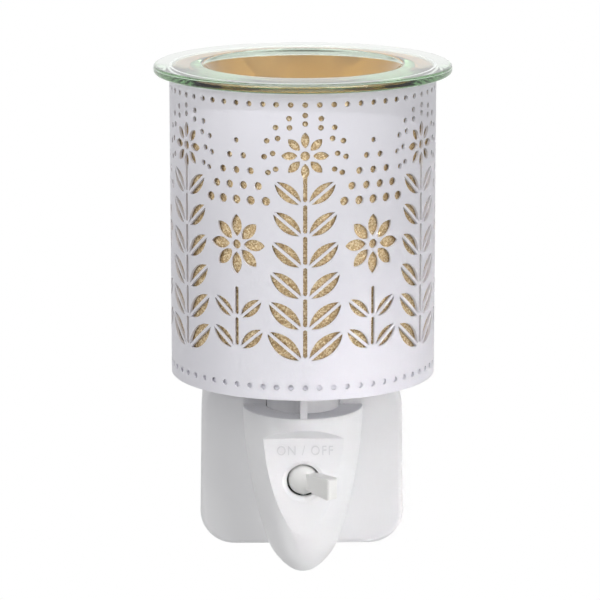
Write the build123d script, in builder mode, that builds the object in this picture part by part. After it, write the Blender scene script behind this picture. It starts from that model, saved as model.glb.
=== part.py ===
from build123d import *
import os
from math import atan2, cos, degrees, pi, radians, sin, sqrt, tan

os.makedirs("parts", exist_ok=True)

# Plug-in wax melt warmer. Millimetres, origin at the centre of the plug's wall face,
# +X right, +Y into the wall, +Z up.

# Wax dish
dish_diameter = 80.0
rim_thickness = 2.4
bowl_mouth_diameter = 54.0
bowl_floor_diameter = 38.0
bowl_depth = 13.5
glass_wall = 2.6
bowl_round = 4.0
rim_round = 1.1

# Shade: rolled sleeve, gold liner and pressed base
shade_diameter = 71.4
shade_height = 81.7
sleeve_sheet = 0.7
liner_sheet = 0.5
liner_gap = 0.3
liner_below_top = 0.6
base_sheet = 0.7
base_recess = 4.0
base_lip = 0.3
base_gap = 0.1
base_bend = 1.2

# Cut-outs of the sleeve: sprigs with a blossom, and daisies with dots between them
sprig_count = 6
bridge = 0.75
stem_slot = 1.1
leaf_pairs = 6
leaf_pitch = 8.3
leaf_first_height = 11.0
leaf_length = 10.8
leaf_shrink = 0.5
leaf_bulge = 0.2
leaf_widest = 0.46
leaf_lean = 50.0
petal_count = 8
petal_bulge = 0.26
petal_widest = 0.56
blossom_height = 65.0
blossom_radius = 6.2
daisy_height = 41.0
daisy_radius = 8.0
heart_radius = 1.25
bud_pairs = 2
bud_length = 7.6
bud_first_height = 13.5
dot_radius = 1.2
dot_shrink = 0.12
dot_rows = 5
dot_pitch = 4.1
dot_row_pitch = 3.9
halo_rows = 2
halo_dots = 9
halo_gap = 2.2
halo_start = -25.0
bead_radius = 0.75
bead_count = 60
bead_edge = 3.4

# Plug body
plate_width = 57.2
plate_height = 49.5
plate_narrowing = 0.8
plate_corner = 9.6
plate_edge = 1.6
body_depth = 14.0
cover_depth = 11.5
cover_edge = 1.0
cover_floor = 3.0
wall = 1.8
parting_chamfer = 0.4

# Nose: a bullet turned about the lamp axis, cut by a flat facet for the switch
wall_gap = 2.0
shade_above_plate = 5.45
deck_drop = 10.1
nose_radius = 16.4
nose_length = 47.3
belly_radius = 14.5
belly_drop = 19.0
shoulder_radius = 9.95
shoulder_drop = 37.4
nose_tip_radius = 6.3
deck_round = 0.3
screen_rise = 3.0
facet_distance = 11.45
facet_lean = 1.6
facet_top_drop = 6.6
ledge_slope = 37.0

# Lamp holder
collar_radius = 9.9
collar_gap = 0.2
holder_foot_radius = 9.3
holder_foot_drop = 6.2
flange_radius = 11.6
flange_thickness = 1.6
neck_radius = 8.8
neck_height = 5.5
socket_radius = 7.8
socket_floor_drop = 3.6
rib_count = 3
rib_thickness = 1.9
rib_edge_gap = 0.3
ring_radius = 13.0
ring_height = 4.5
ring_notches = 12
ring_notch_radius = 1.2
thread_gap = 0.05
shell_radius = 7.6
shell_sheet = 0.4
shell_length = 14.0
shell_lift = 1.0
tail_width = 3.0
tail_length = 9.0
tail_angle = 45.0
contact_sheet = 0.5
contact_width = 3.5
contact_rise = 1.5
contact_reach = 3.2
contact_tag = 4.0
contact_rivet_radius = 1.0

# Bulb
bulb_gap = 0.3
bulb_length = 60.0
bulb_radius = 14.0
bulb_wall = 0.8
bulb_dome_start = 14.0
bulb_flare_length = 14.7
cap_radius = 6.9
cap_sheet = 0.4
cap_length = 19.0
tip_radius = 2.3
tip_height = 1.0
tip_round = 0.6
cap_round = 0.32
insulator_height = 3.0
stem_radius = 2.2
stem_length = 16.0
stem_flare_thickness = 0.8
filament_wire = 0.35
filament_bend = 1.0
filament_lead = 1.5
filament_spread = 7.0
filament_rise = 8.0
filament_crown = 2.2

# Switch
switch_drop = 18.7
switch_hole_radius = 4.6
countersink_radius = 6.0
countersink_depth = 0.7
switch_throw = 35.0
axle_radius = 0.8
running_gap = 0.05
moving_gap = 0.3
ball_radius = 4.25
lever_length = 13.6
lever_thickness = 3.3
lever_root_height = 3.9
lever_tip_height = 6.1
lever_round = 0.8
tail_reach = 6.6
tail_bar = 1.4
tail_end_radius = 1.2
tail_height = 3.0
frame_plate = 1.6
frame_front_half_width = 5.0
frame_rear_half_width = 8.0
frame_neck = 4.5
carriage_half_width = 2.6
carriage_web = 1.7
carriage_lead = 0.4
slot_relief = 0.4
bridge_sheet = 0.5
bridge_half_width = 1.6
bridge_half_height = 3.2
terminal_spacing = 4.4
terminal_radius = 1.1
terminal_tag = 4.2
terminal_tag_width = 3.0
terminal_sheet = 0.6

# Plug pins (three flat pins)
pin_spacing = 22.2
pin_width = 6.35
pin_thickness = 4.0
pin_length = 17.7
earth_height = 8.0
earth_length = 22.7
pin_round = 1.0
pin_gap = 0.05
sleeve_length = 9.5
sleeve_wall = 0.5
pin_shoulder = 1.0
pin_shoulder_depth = 2.0
pin_tag_length = 6.0
pin_tag_thickness = 1.0

# Screws of the rear cover
screw_spacing_x = 41.0
screw_spacing_z = 29.0
screw_radius = 1.45
screw_head_radius = 2.7
screw_head_height = 2.0
screw_head_round = 0.8
screw_length = 16.0
screw_recess = 5.0
screw_recess_radius = 3.1
boss_radius = 4.2
pilot_gap = 0.05

# Wires inside
wire_radius = 0.8
wire_lead = 9.0
wire_bend = 4.5
switched_wire_bend = 2.2
switched_wire_reach = 6.0
neutral_wire_bend = 2.7
neutral_wire_drop = 6.3

# Places that follow from the sizes above
shade_radius = shade_diameter / 2
sleeve_bore = shade_radius - sleeve_sheet
axis_y = -(dish_diameter / 2 + wall_gap)
plug_depth = body_depth + cover_depth
shade_base_z = plate_height / 2 + shade_above_plate
shade_top_z = shade_base_z + shade_height
base_z = shade_base_z + base_recess
base_top_z = base_z + base_sheet
deck_z = shade_base_z - deck_drop
facet_y = axis_y - facet_distance
facet_inner_y = facet_y + wall
switch_z = deck_z - switch_drop
pivot_y = facet_inner_y + axle_radius + moving_gap
facet_slope = tan(radians(facet_lean))
socket_floor_z = deck_z - socket_floor_drop
holder_foot_z = deck_z - holder_foot_drop
bulb_z = socket_floor_z + contact_rise + bulb_gap
cap_z = bulb_z + tip_height + insulator_height
bulb_neck_z = cap_z + cap_length

lamp_axis = Axis((0, axis_y, 0), (0, 0, 1))
profile_plane = Plane(origin=(0, axis_y, 0), x_dir=(1, 0, 0), z_dir=(0, -1, 0))
nose_plane = Plane(origin=(0, axis_y, deck_z), x_dir=(1, 0, 0), z_dir=(0, -1, 0))
side_plane = Plane(origin=(0, axis_y, deck_z), x_dir=(0, 1, 0), z_dir=(1, 0, 0))


def lamp_level(height):
    """Horizontal plane at a height, centred on the lamp axis."""
    return Plane((0, axis_y, height))


def plug_level(depth):
    """Upright plane at a depth in front of the wall face, facing the room."""
    return Plane.XZ.offset(depth)


def save(piece, name):
    """Label a finished piece and write its STEP file."""
    piece.part.label = name
    export_step(piece.part, f"parts/{name}.step")


def inner_arc(arc, inset):
    """The same arc drawn again, to the right of its direction by the inset."""
    points = []
    for share in (0, 0.5, 1):
        sideways = (arc % share).rotate(Axis.Z, -90)
        points.append((arc @ share) + sideways * inset)
    return ThreePointArc(*points)


# Wax dish: a wide flat rim that rests on the shade, and a sloping bowl
with BuildPart() as wax_dish:
    rim_top = shade_top_z + rim_thickness
    floor_top = rim_top - bowl_depth
    floor_under = floor_top - glass_wall
    mouth = bowl_mouth_diameter / 2
    floor_radius = bowl_floor_diameter / 2
    with BuildSketch(profile_plane) as dish_profile:
        with BuildLine():
            Polyline(
                (0, floor_top),
                (floor_radius, floor_top),
                (mouth, rim_top),
                (dish_diameter / 2, rim_top),
                (dish_diameter / 2, shade_top_z),
                (mouth + glass_wall, shade_top_z),
                (floor_radius + glass_wall, floor_under),
                (0, floor_under),
                close=True,
            )
        make_face()
        corners = dish_profile.vertices().group_by(Axis.X)
        fillet(corners[1], bowl_round)
        fillet(corners[2], bowl_round + glass_wall)
        fillet(corners[3] + corners[4] + corners[5], rim_round)
    revolve(axis=lamp_axis)
save(wax_dish, "wax_dish")


def leaf(length, bulge):
    """Pointed leaf along +Y, cut as two halves with a bridge for its midrib."""
    with BuildSketch() as shape:
        with BuildLine():
            rib = Line((bridge / 2, 0), (bridge / 2, length))
            ThreePointArc(rib @ 1, (bridge / 2 + bulge * length, length * leaf_widest), rib @ 0)
        make_face()
        mirror(about=Plane.YZ)
    return shape.sketch


def petal(length, bulge):
    """Pointed oval along +X."""
    with BuildSketch() as shape:
        with BuildLine():
            widest = length * petal_widest
            upper = ThreePointArc((0, 0), (widest, bulge * length), (length, 0))
            ThreePointArc(upper @ 1, (widest, -bulge * length), upper @ 0)
        make_face()
    return shape.sketch


def flower(radius, height):
    """Round flower: a heart with a ring of petals."""
    inner = heart_radius + bridge
    with BuildSketch() as shape:
        with Locations((0, height)):
            Circle(heart_radius)
            with PolarLocations(inner, petal_count):
                add(petal(radius - inner, petal_bulge))
    return shape.sketch


def leaf_stem(first_height, pairs, length, shrink):
    """Upright stem with pairs of leaves that get shorter upwards."""
    with BuildSketch() as shape:
        for pair in range(pairs):
            height = first_height + pair * leaf_pitch
            with Locations(
                Location((bridge + stem_slot / 2, height), -leaf_lean),
                Location((-bridge - stem_slot / 2, height), leaf_lean),
            ):
                add(leaf(length - pair * shrink, leaf_bulge))
            with Locations((0, height + leaf_pitch / 2)):
                SlotOverall(leaf_pitch - bridge, stem_slot, rotation=90)
    return shape.sketch


def dot_field(first_height):
    """Rows of dots that narrow and shrink upwards."""
    with BuildSketch() as shape:
        for row in range(dot_rows):
            with Locations((0, first_height + row * dot_row_pitch)):
                with GridLocations(dot_pitch, 1, dot_rows - row, 1):
                    Circle(dot_radius - row * dot_shrink)
    return shape.sketch


def dot_halo(radius, height):
    """Rings of dots round the top of a flower, open below for its stem."""
    arc = 180 - 2 * halo_start
    with BuildSketch() as shape:
        with Locations((0, height)):
            for row in range(halo_rows):
                count = halo_dots + 2 * row
                step = arc / (count - 1)
                with PolarLocations(radius + halo_gap * (row + 1), count, halo_start, step * count):
                    Circle(bead_radius)
    return shape.sketch


def bead_rows():
    """Rows of beads along the lower and upper edge of the sleeve, one share of the full ring."""
    share = bead_count // (2 * sprig_count)
    pitch = 2 * pi * shade_radius / bead_count
    with BuildSketch() as shape:
        with Locations((0, bead_edge), (0, shade_height - bead_edge)):
            with GridLocations(pitch, 1, share, 1):
                Circle(bead_radius)
    return shape.sketch


def sleeve_cutter(sketches):
    """Cut-outs drawn on a plane that touches the sleeve in front, taken through its wall."""
    bow = shade_radius - sqrt(shade_radius**2 - leaf_length**2)
    touching = Plane(
        origin=(0, axis_y - shade_radius, shade_base_z), x_dir=(1, 0, 0), z_dir=(0, -1, 0)
    )
    with BuildPart() as cutter:
        with BuildSketch(touching):
            for sketch in sketches:
                add(sketch)
        extrude(amount=2 * (bow + sleeve_sheet), both=True)
    return cutter.part


# Shade sleeve: rolled sheet with sprigs and daisies in turn
sprig = sleeve_cutter([
    leaf_stem(leaf_first_height, leaf_pairs, leaf_length, leaf_shrink),
    flower(blossom_radius, blossom_height),
    dot_halo(blossom_radius, blossom_height),
    bead_rows(),
])
daisy = sleeve_cutter([
    leaf_stem(bud_first_height, bud_pairs, bud_length, leaf_shrink),
    flower(daisy_radius, daisy_height),
    dot_field(daisy_height + daisy_radius + dot_row_pitch),
    bead_rows(),
])
turn = 360 / sprig_count
cutters = [sprig.rotate(lamp_axis, turn * step) for step in range(sprig_count)]
cutters += [daisy.rotate(lamp_axis, turn * (step + 0.5)) for step in range(sprig_count)]
with BuildPart() as shade_sleeve:
    with BuildSketch(lamp_level(shade_base_z)):
        Circle(shade_radius)
        Circle(sleeve_bore, mode=Mode.SUBTRACT)
    extrude(amount=shade_height)
    add(cutters, mode=Mode.SUBTRACT)
save(shade_sleeve, "shade_sleeve")

# Gold liner: plain tube that stands on the base, just inside the sleeve
with BuildPart() as gold_liner:
    with BuildSketch(lamp_level(base_top_z)):
        Circle(sleeve_bore - liner_gap)
        Circle(sleeve_bore - liner_gap - liner_sheet, mode=Mode.SUBTRACT)
    extrude(amount=shade_top_z - liner_below_top - base_top_z)
save(gold_liner, "gold_liner")

# Shade base: pressed disc with its edge turned down, on the shoulder of the collar
with BuildPart() as shade_base:
    base_radius = sleeve_bore - base_gap
    lip_z = shade_base_z + base_lip
    with BuildSketch(profile_plane) as base_profile:
        with BuildLine():
            Polyline(
                (neck_radius + thread_gap, base_top_z),
                (base_radius, base_top_z),
                (base_radius, lip_z),
                (base_radius - base_sheet, lip_z),
                (base_radius - base_sheet, base_z),
                (neck_radius + thread_gap, base_z),
                close=True,
            )
        make_face()
        outer_bend = base_profile.vertices().sort_by_distance((base_radius, base_top_z))[0]
        fillet(outer_bend, base_bend)
        inner_bend = base_profile.vertices().sort_by_distance((base_radius - base_sheet, base_z))[0]
        fillet(inner_bend, base_bend - base_sheet)
    revolve(axis=lamp_axis)
save(shade_base, "shade_base")

# Shade ring: threaded ring that clamps the base on the collar
with BuildPart() as shade_ring:
    with BuildSketch(lamp_level(base_top_z)):
        Circle(ring_radius)
        with PolarLocations(ring_radius, ring_notches):
            Circle(ring_notch_radius, mode=Mode.SUBTRACT)
        Circle(neck_radius + thread_gap, mode=Mode.SUBTRACT)
    extrude(amount=ring_height)
save(shade_ring, "shade_ring")

# Lamp holder: collar with ribs on the deck, flange under it, neck for the shade ring
tail_plane = Plane(
    origin=(0, axis_y, socket_floor_z),
    x_dir=(-sin(radians(tail_angle)), cos(radians(tail_angle)), 0),
    z_dir=(0, 0, 1),
)
with BuildPart() as lamp_holder:
    with BuildSketch(profile_plane):
        with BuildLine():
            flange_top = deck_z - wall
            Polyline(
                (0, holder_foot_z),
                (holder_foot_radius, holder_foot_z),
                (holder_foot_radius, flange_top - flange_thickness),
                (flange_radius, flange_top - flange_thickness),
                (flange_radius, flange_top),
                (collar_radius, flange_top),
                (collar_radius, base_z),
                (neck_radius, base_z),
                (neck_radius, base_top_z + neck_height),
                (socket_radius, base_top_z + neck_height),
                (socket_radius, socket_floor_z),
                (0, socket_floor_z),
                close=True,
            )
        make_face()
    revolve(axis=lamp_axis)
    with BuildSketch(lamp_level(deck_z)):
        rib_end = nose_radius - rib_edge_gap
        rib_start = (socket_radius + collar_radius) / 2
        with PolarLocations((rib_start + rib_end) / 2, rib_count, start_angle=-90):
            Rectangle(rib_end - rib_start, rib_thickness)
    extrude(amount=base_z - deck_z)
    with BuildSketch(tail_plane):
        with Locations((shell_radius - shell_sheet / 2, 0)):
            Rectangle(shell_sheet + 2 * pin_gap, tail_width + 2 * pin_gap)
    extrude(amount=holder_foot_z - socket_floor_z, mode=Mode.SUBTRACT)
    with BuildSketch(lamp_level(socket_floor_z)):
        Circle(contact_rivet_radius + pin_gap)
    extrude(amount=holder_foot_z - socket_floor_z, mode=Mode.SUBTRACT)
save(lamp_holder, "lamp_holder")

# Screw shell of the lamp holder, with a tail down through the floor
with BuildPart() as screw_shell:
    with BuildSketch(lamp_level(socket_floor_z + shell_lift)):
        Circle(shell_radius)
        Circle(shell_radius - shell_sheet, mode=Mode.SUBTRACT)
    extrude(amount=shell_length)
    with BuildSketch(tail_plane.offset(shell_lift)):
        with Locations((shell_radius - shell_sheet / 2, 0)):
            Rectangle(shell_sheet, tail_width)
    extrude(amount=-tail_length)
    with BuildSketch(lamp_level(socket_floor_z + shell_lift)):
        Circle(shell_radius - shell_sheet)
    extrude(amount=shell_length, mode=Mode.SUBTRACT)
save(screw_shell, "screw_shell")

# Centre contact: a sprung arch on the socket floor, riveted to a tag under it
with BuildPart() as centre_contact:
    contact_plane = Plane(origin=(0, axis_y, 0), x_dir=(0, 1, 0), z_dir=(1, 0, 0))
    arch = contact_rise - contact_sheet / 2
    with BuildSketch(contact_plane):
        with BuildLine():
            low = socket_floor_z + contact_sheet / 2
            Polyline(
                (-contact_width, low),
                (contact_width / 2, low),
                (contact_width, low + arch / 2),
                (0, socket_floor_z + arch),
                (-contact_width / 2, socket_floor_z + arch),
            )
        trace(line_width=contact_sheet)
        with BuildLine():
            under = holder_foot_z - contact_sheet / 2
            Polyline(
                (-contact_width / 2, under),
                (contact_reach, under),
                (contact_reach, under - contact_tag),
            )
        trace(line_width=contact_sheet)
    extrude(amount=contact_width / 2, both=True)
    with BuildSketch(lamp_level(holder_foot_z - contact_sheet / 2)):
        Circle(contact_rivet_radius)
    extrude(amount=socket_floor_z - holder_foot_z + contact_sheet)
save(centre_contact, "centre_contact")

# Bulb: contact tip, insulator, screw cap, glass, stem and filament
with BuildPart() as bulb_tip:
    with BuildSketch(lamp_level(bulb_z)):
        Circle(tip_radius)
    extrude(amount=tip_height)
    fillet(bulb_tip.faces().sort_by(Axis.Z)[0].edges(), tip_round)
save(bulb_tip, "bulb_tip")

with BuildPart() as bulb_insulator:
    with BuildSketch(lamp_level(bulb_z + tip_height)):
        Circle(tip_radius)
    with BuildSketch(lamp_level(cap_z)):
        Circle(cap_radius - cap_sheet)
    loft()
save(bulb_insulator, "bulb_insulator")

with BuildPart() as bulb_cap:
    with BuildSketch(lamp_level(cap_z)):
        Circle(cap_radius)
        Circle(cap_radius - cap_sheet, mode=Mode.SUBTRACT)
    extrude(amount=cap_length)
    with BuildSketch(lamp_level(cap_z)):
        Circle(cap_radius - cap_sheet / 2)
        Circle(tip_radius, mode=Mode.SUBTRACT)
    extrude(amount=cap_sheet)
    fillet(bulb_cap.faces().sort_by(Axis.Z)[0].outer_wire().edges(), cap_round)
save(bulb_cap, "bulb_cap")

with BuildPart() as bulb_glass:
    with BuildSketch(profile_plane):
        with BuildLine():
            bulb_top_z = bulb_z + bulb_length
            flare_z = bulb_neck_z + bulb_flare_length
            dome_z = bulb_top_z - bulb_dome_start
            halfway = ((cap_radius + bulb_radius) / 2, (bulb_neck_z + flare_z) / 2)
            lower = TangentArc((cap_radius, bulb_neck_z), halfway, tangent=(0, 1))
            upper = TangentArc(halfway, (bulb_radius, flare_z), tangent=lower % 1)
            side = Line(upper @ 1, (bulb_radius, dome_z))
            dome = TangentArc(side @ 1, (0, bulb_top_z), tangent=(0, 1))
            inner_lower = inner_arc(lower, -bulb_wall)
            inner_upper = inner_arc(upper, -bulb_wall)
            inner_dome = inner_arc(dome, -bulb_wall)
            Line(inner_upper @ 1, inner_dome @ 0)
            Line(inner_dome @ 1, dome @ 1)
            Line(inner_lower @ 0, lower @ 0)
        make_face()
    revolve(axis=lamp_axis)
save(bulb_glass, "bulb_glass")

with BuildPart() as bulb_stem:
    with BuildSketch(lamp_level(bulb_neck_z)):
        Circle(cap_radius - bulb_wall - pin_gap)
    extrude(amount=stem_flare_thickness)
    with BuildSketch(lamp_level(bulb_neck_z)):
        Circle(stem_radius)
    extrude(amount=stem_length)
    fillet(bulb_stem.faces().sort_by(Axis.Z)[-1].edges(), stem_radius / 2)
save(bulb_stem, "bulb_stem")

with BuildPart() as bulb_filament:
    stem_top_z = bulb_neck_z + stem_length
    lead_x = stem_radius / 4
    crown_z = stem_top_z + filament_rise + filament_crown
    with BuildLine(profile_plane) as filament_route:
        FilletPolyline(
            (-lead_x, stem_top_z),
            (-lead_x, stem_top_z + filament_lead),
            (-filament_spread, stem_top_z + filament_rise),
            (0, crown_z),
            (filament_spread, stem_top_z + filament_rise),
            (lead_x, stem_top_z + filament_lead),
            (lead_x, stem_top_z),
            radius=filament_bend,
        )
    with BuildSketch(Plane(filament_route.line @ 0, z_dir=filament_route.line % 0)):
        Circle(filament_wire)
    sweep(path=filament_route.line)
save(bulb_filament, "bulb_filament")


def half_nose(inset):
    """Right half of the bullet's front outline below its deck, drawn inside by the inset."""
    tip_centre = Vector(0, nose_tip_radius - nose_length)
    with BuildLine():
        side = ThreePointArc(
            (nose_radius, 0),
            (belly_radius, -belly_drop),
            (shoulder_radius, -shoulder_drop),
        )
        # The flank runs on from the side and meets the round tip without a corner
        inward = (side % 1).rotate(Axis.Z, -90)
        span = (side @ 1) - tip_centre
        excess = nose_tip_radius**2 - span.dot(span)
        flank_radius = excess / (2 * (inward.dot(span) + nose_tip_radius))
        flank_centre = (side @ 1) + inward * flank_radius
        touch = tip_centre + (tip_centre - flank_centre).normalized() * nose_tip_radius
        flank = TangentArc(side @ 1, touch, tangent=side % 1)
    touch_angle = degrees(atan2(touch.Y - tip_centre.Y, touch.X))
    with BuildSketch() as half:
        with BuildLine():
            top = inner_arc(side, inset)
            inner_arc(flank, inset)
            tip = CenterArc(tip_centre, nose_tip_radius - inset, touch_angle, -90 - touch_angle)
            Polyline(tip @ 1, (0, 0), top @ 0)
        make_face()
        if inset:
            with Locations((0, -inset - nose_length)):
                Rectangle(3 * nose_radius, 2 * nose_length, mode=Mode.INTERSECT)
    return half.sketch


def bullet(inset):
    """The nose turned about the lamp axis, with the leaning facet taken off its front."""
    reach = nose_radius
    rise = reach * tan(radians(ledge_slope))
    facet_top = -facet_distance - facet_slope * (switch_drop - facet_top_drop)
    facet_foot = -facet_distance + facet_slope * (nose_length - switch_drop)
    with BuildPart() as solid:
        with BuildSketch(nose_plane):
            add(half_nose(inset))
        revolve(axis=lamp_axis)
        if not inset:
            fillet(solid.edges().group_by(Axis.Z)[-1], deck_round)
        with BuildSketch(side_plane):
            with BuildLine():
                Polyline(
                    (facet_top, -facet_top_drop),
                    (facet_top - reach, -facet_top_drop + rise),
                    (facet_top - reach, -nose_length),
                    (facet_foot, -nose_length),
                    close=True,
                )
            make_face()
            if inset:
                offset(amount=inset, kind=Kind.INTERSECTION)
        extrude(amount=nose_radius, both=True, mode=Mode.SUBTRACT)
    return solid.part


nose_outside = bullet(0)
nose_inside = bullet(wall)
switch_front = Plane(origin=(0, facet_y, switch_z), x_dir=(1, 0, 0), z_dir=(0, -1, -facet_slope))

# Nose cover: the front half of the bullet, with the facet and the switch hole
with BuildPart() as nose_cover:
    add(nose_outside)
    add(nose_inside, mode=Mode.SUBTRACT)
    with BuildSketch(switch_front):
        Circle(switch_hole_radius)
    extrude(amount=-wall, mode=Mode.SUBTRACT)
    with BuildSketch(switch_front):
        Circle(countersink_radius)
    with BuildSketch(switch_front.offset(-countersink_depth)):
        Circle(switch_hole_radius)
    loft(mode=Mode.SUBTRACT)
    with BuildSketch(lamp_level(deck_z)):
        Circle(collar_radius + collar_gap)
    extrude(amount=-wall, mode=Mode.SUBTRACT)
    split(bisect_by=profile_plane, keep=Keep.TOP)
save(nose_cover, "nose_cover")


def plate_outline(inset):
    """Rounded outline of the plug, a little narrower at the top, drawn inside by the inset."""
    with BuildSketch() as outline:
        Trapezoid(plate_width, plate_height, degrees(atan2(plate_height, plate_narrowing)))
        fillet(outline.vertices(), plate_corner)
        if inset:
            offset(amount=-inset)
    return outline.sketch


def web_outline(inset):
    """The bullet's outline above the plug's lower edge."""
    height = deck_z + plate_height / 2 - 2 * inset
    with BuildSketch() as outline:
        add(half_nose(inset))
        mirror(about=Plane.YZ)
        with Locations((0, -inset - height / 2)):
            Rectangle(plate_width, height, mode=Mode.INTERSECT)
    return outline.sketch


# Plug body: the front half of the plug, with the rear half of the bullet and a screen wall round its deck
with BuildPart() as plug_body:
    web_depth = -axis_y - plug_depth
    with BuildSketch(plug_level(cover_depth)):
        add(plate_outline(0))
    extrude(amount=body_depth)
    fillet(plug_body.faces().sort_by(Axis.Y)[0].edges(), plate_edge)
    chamfer(plug_body.faces().sort_by(Axis.Y)[-1].edges(), parting_chamfer)
    add(nose_outside)
    with BuildSketch(nose_plane):
        add(web_outline(0))
    extrude(amount=-web_depth - plate_edge)
    with BuildSketch(nose_plane):
        with Locations((0, screen_rise / 2)):
            Rectangle(2 * nose_radius, screen_rise)
    extrude(amount=-web_depth)
    with BuildSketch(nose_plane.offset(-wall)):
        with Locations((0, screen_rise / 2)):
            Rectangle(2 * (nose_radius - wall), screen_rise)
    extrude(amount=wall - web_depth, mode=Mode.SUBTRACT)
    add(nose_inside, mode=Mode.SUBTRACT)
    with BuildSketch(plug_level(cover_depth)):
        add(plate_outline(wall))
    extrude(amount=body_depth - wall, mode=Mode.SUBTRACT)
    with BuildSketch(nose_plane):
        add(web_outline(wall))
    extrude(amount=-web_depth - wall, mode=Mode.SUBTRACT)
    with BuildSketch(lamp_level(deck_z - wall)):
        Circle(collar_radius + collar_gap)
    extrude(amount=wall + screen_rise, mode=Mode.SUBTRACT)
    with BuildSketch(plug_level(cover_depth)):
        with GridLocations(screw_spacing_x, screw_spacing_z, 2, 2):
            Circle(boss_radius)
    extrude(amount=body_depth - wall)
    with BuildSketch(plug_level(cover_depth)):
        with GridLocations(screw_spacing_x, screw_spacing_z, 2, 2):
            Circle(screw_radius + pilot_gap)
    extrude(amount=body_depth - 2 * wall, mode=Mode.SUBTRACT)
    split(bisect_by=profile_plane, keep=Keep.BOTTOM)
save(plug_body, "plug_body")

# Rear cover: the wall-side half of the plug, with the pin slots and screw recesses
with BuildPart() as rear_cover:
    with BuildSketch(plug_level(0)):
        add(plate_outline(0))
    extrude(amount=cover_depth)
    fillet(rear_cover.faces().sort_by(Axis.Y)[-1].edges(), cover_edge)
    chamfer(rear_cover.faces().sort_by(Axis.Y)[0].edges(), parting_chamfer)
    with BuildSketch(plug_level(cover_floor)):
        add(plate_outline(wall))
    extrude(amount=cover_depth - cover_floor, mode=Mode.SUBTRACT)
    with BuildSketch(plug_level(cover_floor)):
        with GridLocations(screw_spacing_x, screw_spacing_z, 2, 2):
            Circle(boss_radius)
    extrude(amount=cover_depth - cover_floor)
    with BuildSketch(plug_level(0)):
        with GridLocations(screw_spacing_x, screw_spacing_z, 2, 2):
            Circle(screw_recess_radius)
    extrude(amount=screw_recess, mode=Mode.SUBTRACT)
    with BuildSketch(plug_level(0)):
        with GridLocations(screw_spacing_x, screw_spacing_z, 2, 2):
            Circle(screw_radius + pilot_gap)
        with Locations((-pin_spacing / 2, -pin_spacing / 2), (pin_spacing / 2, -pin_spacing / 2)):
            Rectangle(pin_width + 2 * pin_gap, pin_thickness + 2 * pin_gap)
        with Locations((0, pin_spacing / 2)):
            Rectangle(pin_thickness + 2 * pin_gap, earth_height + 2 * pin_gap)
    extrude(amount=cover_depth, mode=Mode.SUBTRACT)
save(rear_cover, "rear_cover")

# Screws of the rear cover: one solid each, shank towards the room
with BuildPart() as cover_screws:
    with BuildSketch(plug_level(screw_recess)):
        with GridLocations(screw_spacing_x, screw_spacing_z, 2, 2):
            Circle(screw_radius)
    extrude(amount=screw_length)
    with BuildSketch(plug_level(screw_recess)):
        with GridLocations(screw_spacing_x, screw_spacing_z, 2, 2):
            Circle(screw_head_radius)
    extrude(amount=-screw_head_height)
    heads = cover_screws.faces().filter_by(Axis.Y).group_by(Axis.Y)[-1]
    fillet(heads.edges(), screw_head_round)
save(cover_screws, "cover_screws")


def flat_pin(side):
    """Live or neutral pin: bare end, waist under its sleeve, shoulder and solder tag."""
    centre = (side * pin_spacing / 2, -pin_spacing / 2)
    waist_width = pin_width - 2 * sleeve_wall
    waist_thickness = pin_thickness - 2 * sleeve_wall
    with BuildPart() as pin:
        with BuildSketch(plug_level(-sleeve_length)):
            with Locations(centre):
                Rectangle(pin_width, pin_thickness)
        extrude(amount=sleeve_length - pin_length)
        fillet(pin.faces().sort_by(Axis.Y)[-1].edges(), pin_round)
        with BuildSketch(plug_level(-sleeve_length)):
            with Locations(centre):
                Rectangle(waist_width, waist_thickness)
        extrude(amount=sleeve_length + cover_floor)
        with BuildSketch(plug_level(cover_floor)):
            with Locations(centre):
                Rectangle(pin_width + pin_shoulder, pin_thickness + pin_shoulder)
        extrude(amount=pin_shoulder_depth)
        with BuildSketch(plug_level(cover_floor + pin_shoulder_depth)):
            with Locations(centre):
                Rectangle(pin_thickness, pin_tag_thickness)
        extrude(amount=pin_tag_length)
    return pin


live_pin = flat_pin(1)
save(live_pin, "live_pin")
neutral_pin = flat_pin(-1)
save(neutral_pin, "neutral_pin")

# Insulating sleeves, flush with the live and neutral pins
with BuildPart() as pin_sleeves:
    with BuildSketch(plug_level(-sleeve_length)):
        with Locations((-pin_spacing / 2, -pin_spacing / 2), (pin_spacing / 2, -pin_spacing / 2)):
            Rectangle(pin_width, pin_thickness)
            Rectangle(
                pin_width - 2 * sleeve_wall, pin_thickness - 2 * sleeve_wall, mode=Mode.SUBTRACT
            )
    extrude(amount=sleeve_length + cover_floor)
save(pin_sleeves, "pin_sleeves")

# Earth pin: solid moulded pin that opens the socket's shutters
with BuildPart() as earth_pin:
    with BuildSketch(plug_level(cover_floor)):
        with Locations((0, pin_spacing / 2)):
            Rectangle(pin_thickness, earth_height)
    extrude(amount=-cover_floor - earth_length)
    fillet(earth_pin.faces().sort_by(Axis.Y)[-1].edges(), pin_round)
    with BuildSketch(plug_level(cover_floor)):
        with Locations((0, pin_spacing / 2)):
            Rectangle(pin_thickness + pin_shoulder, earth_height + pin_shoulder)
    extrude(amount=pin_shoulder_depth)
save(earth_pin, "earth_pin")

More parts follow.
